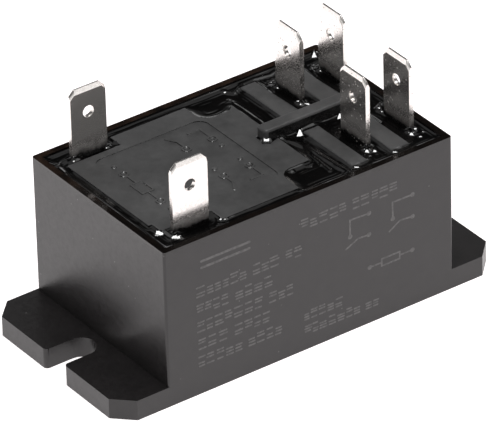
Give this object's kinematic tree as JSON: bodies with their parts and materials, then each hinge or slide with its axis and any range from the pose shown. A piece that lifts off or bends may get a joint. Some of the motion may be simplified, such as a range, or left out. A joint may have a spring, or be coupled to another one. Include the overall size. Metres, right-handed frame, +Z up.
{
  "type": "flange-mount power relay",
  "caption": "Two-pole power relay: black potted box with mounting ears at its base and bright quick-connect tabs on top, with a hinged armature and contacts inside.",
  "frame": {"origin": "centre of the flat mounting face, midway between the two mounting slots", "axes": "+X along the body towards the load tabs, +Y across the body towards the rear pole, +Z up from the mounting face towards the tabs"},
  "size_m": [0.0694, 0.0338, 0.0381],
  "materials": {
    "case_plastic": "satin moulded thermoplastic",
    "base_plastic": "matte moulded thermoplastic",
    "resin": "glossy black potting resin",
    "tinned_brass": "bright tin plate",
    "plated_steel": "zinc plated",
    "soft_iron": "nickel plated, ground pole face",
    "spring_steel": "bright rolled",
    "copper": "bare copper",
    "blade_copper": "rolled copper alloy",
    "rivet_brass": "plain brass",
    "silver": "silver alloy",
    "bobbin_plastic": "natural moulded plastic",
    "carrier_plastic": "glass-filled moulded plastic",
    "coil_tape": "polyester film tape",
    "lead_insulation": "enamelled and sleeved wire"
  },
  "bodies": {
    "housing": {"case": "case_plastic", "base_plate": "base_plastic", "sealing_resin": "resin", "coil_terminal_rear": "tinned_brass", "coil_terminal_front": "tinned_brass", "common_terminal_rear": "tinned_brass", "common_terminal_front": "tinned_brass", "contact_terminal_rear": "tinned_brass", "contact_terminal_front": "tinned_brass", "fixed_contact_rear": "silver", "fixed_contact_front": "silver", "yoke": "plated_steel", "yoke_rivets": "rivet_brass", "core": "soft_iron", "shading_ring": "copper", "bobbin": "bobbin_plastic", "winding": "copper", "coil_tape": "coil_tape", "coil_lead_rear": "lead_insulation", "coil_lead_front": "lead_insulation", "hinge_spring": "spring_steel", "hinge_spring_rivets": "rivet_brass", "braid_rear": "copper", "braid_front": "copper"},
    "armature_group": {"armature": "plated_steel", "contact_carrier": "carrier_plastic", "carrier_rivets": "rivet_brass", "blade_rear": "blade_copper", "blade_front": "blade_copper", "moving_contact_rear": "silver", "moving_contact_front": "silver"}
  },
  "joints": [
    {"name": "armature_hinge", "type": "hinge", "parent": "housing", "child": "armature_group", "pos_m": [-0.00035, 0, 0.022], "axis": [0, 1, 0], "range_deg": [0, 4.4], "stiffness_Nm_per_rad": 0.03, "springref_deg": -5.73, "deforming": ["hinge_spring", "braid_rear", "braid_front"]}
  ]
}
